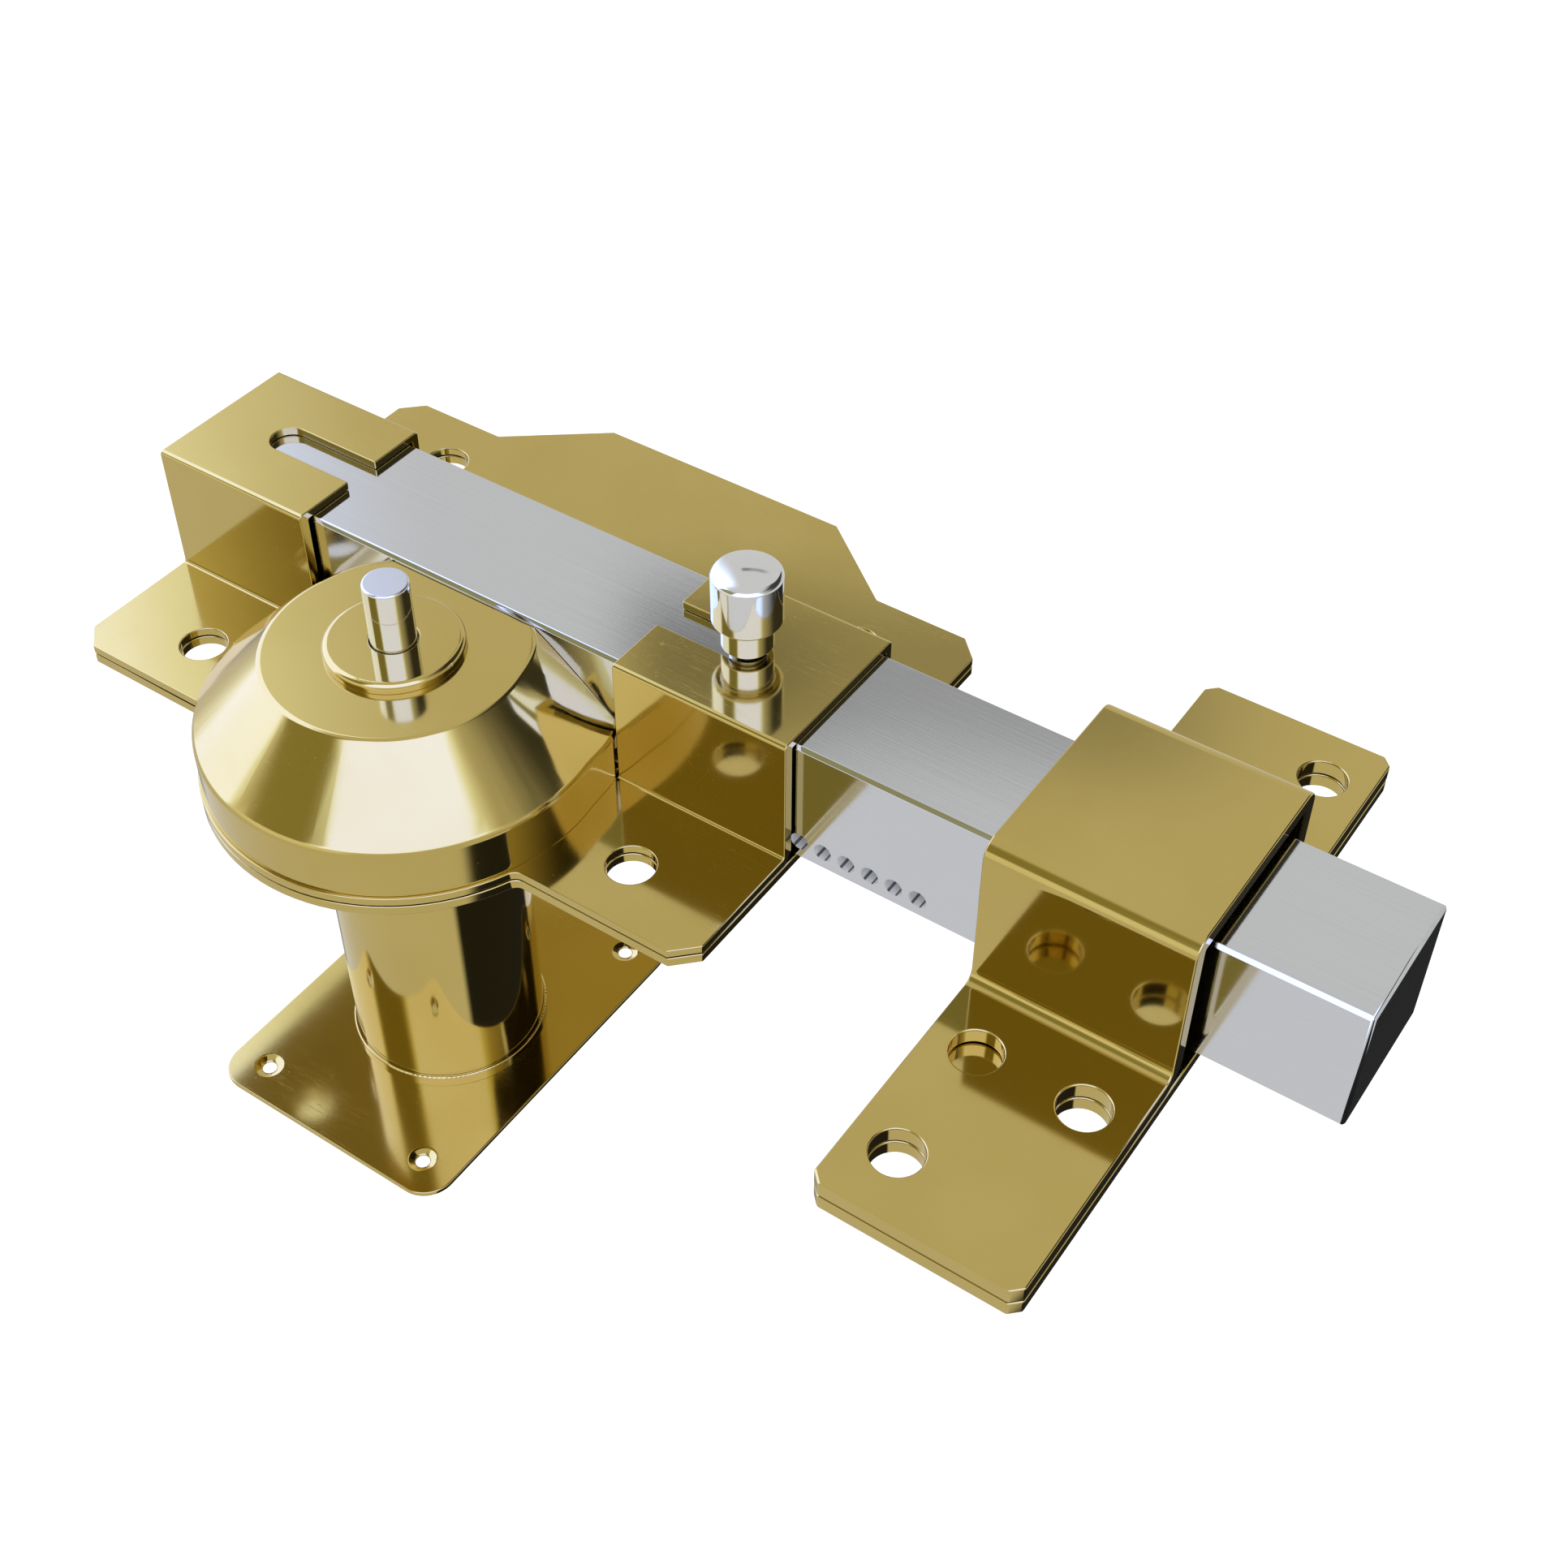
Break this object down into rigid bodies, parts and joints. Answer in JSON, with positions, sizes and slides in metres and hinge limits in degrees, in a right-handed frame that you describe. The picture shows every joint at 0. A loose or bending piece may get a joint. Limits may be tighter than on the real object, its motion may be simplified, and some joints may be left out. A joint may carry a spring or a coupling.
{
  "type": "deadbolt",
  "caption": "Surface-mounted deadbolt: a square bolt in folded guides, driven by a toothed wheel under a domed cover and a key cylinder through the door, with a bridge striker.",
  "frame": {"origin": "on the key cylinder's axis, in the plane of the door's inner face, where the base plate lies", "axes": "+X along the bolt towards the striker, +Y across the body towards its rear hump, +Z away from the door into the room"},
  "size_m": [0.2195, 0.1227, 0.1071],
  "materials": {
    "brass_sheet": "polished",
    "brass_turned": "polished",
    "bolt_steel": "brushed along its length",
    "knob_chrome": "polished",
    "bright_steel": "turned",
    "dark_steel": "blued"
  },
  "bodies": {
    "lock_body": {"base_plate": "brass_sheet", "guide_housing": "brass_sheet", "dome_cover": "brass_sheet", "cover_rivets": "brass_turned", "dome_washer": "brass_turned", "spindle_bush": "brass_turned", "cylinder_body": "brass_turned", "chamber_strip": "brass_turned", "driver_pins": "bright_steel", "pin_springs": "bright_steel", "cylinder_screws": "dark_steel", "cylinder_sleeve": "brass_turned", "sleeve_ring": "brass_turned", "outer_plate": "brass_sheet", "strike_plate": "brass_sheet", "strike_bridge": "brass_sheet"},
    "bolt": {"bolt_bar": "bolt_steel", "knob": "knob_chrome", "knob_stud": "dark_steel"},
    "turning_set": {"spindle": "bright_steel", "drive_wheel": "dark_steel", "wheel_nut": "bright_steel", "spindle_circlip": "dark_steel", "tailpiece": "bright_steel", "key_plug": "brass_turned", "key_pins": "brass_turned", "plug_clip": "dark_steel"}
  },
  "joints": [
    {"name": "bolt_slide", "type": "slide", "parent": "lock_body", "child": "bolt", "axis": [1, 0, 0], "range_m": [-0.08075, 0]},
    {"name": "spindle_turn", "type": "hinge", "parent": "lock_body", "child": "turning_set", "pos_m": [0, 0, 0.0059], "axis": [0, 0, 1], "range_deg": [0, 286]}
  ],
  "couplings": [
    {"joint": "spindle_turn", "follows": "bolt_slide", "rad_per_m": -61.6}
  ]
}
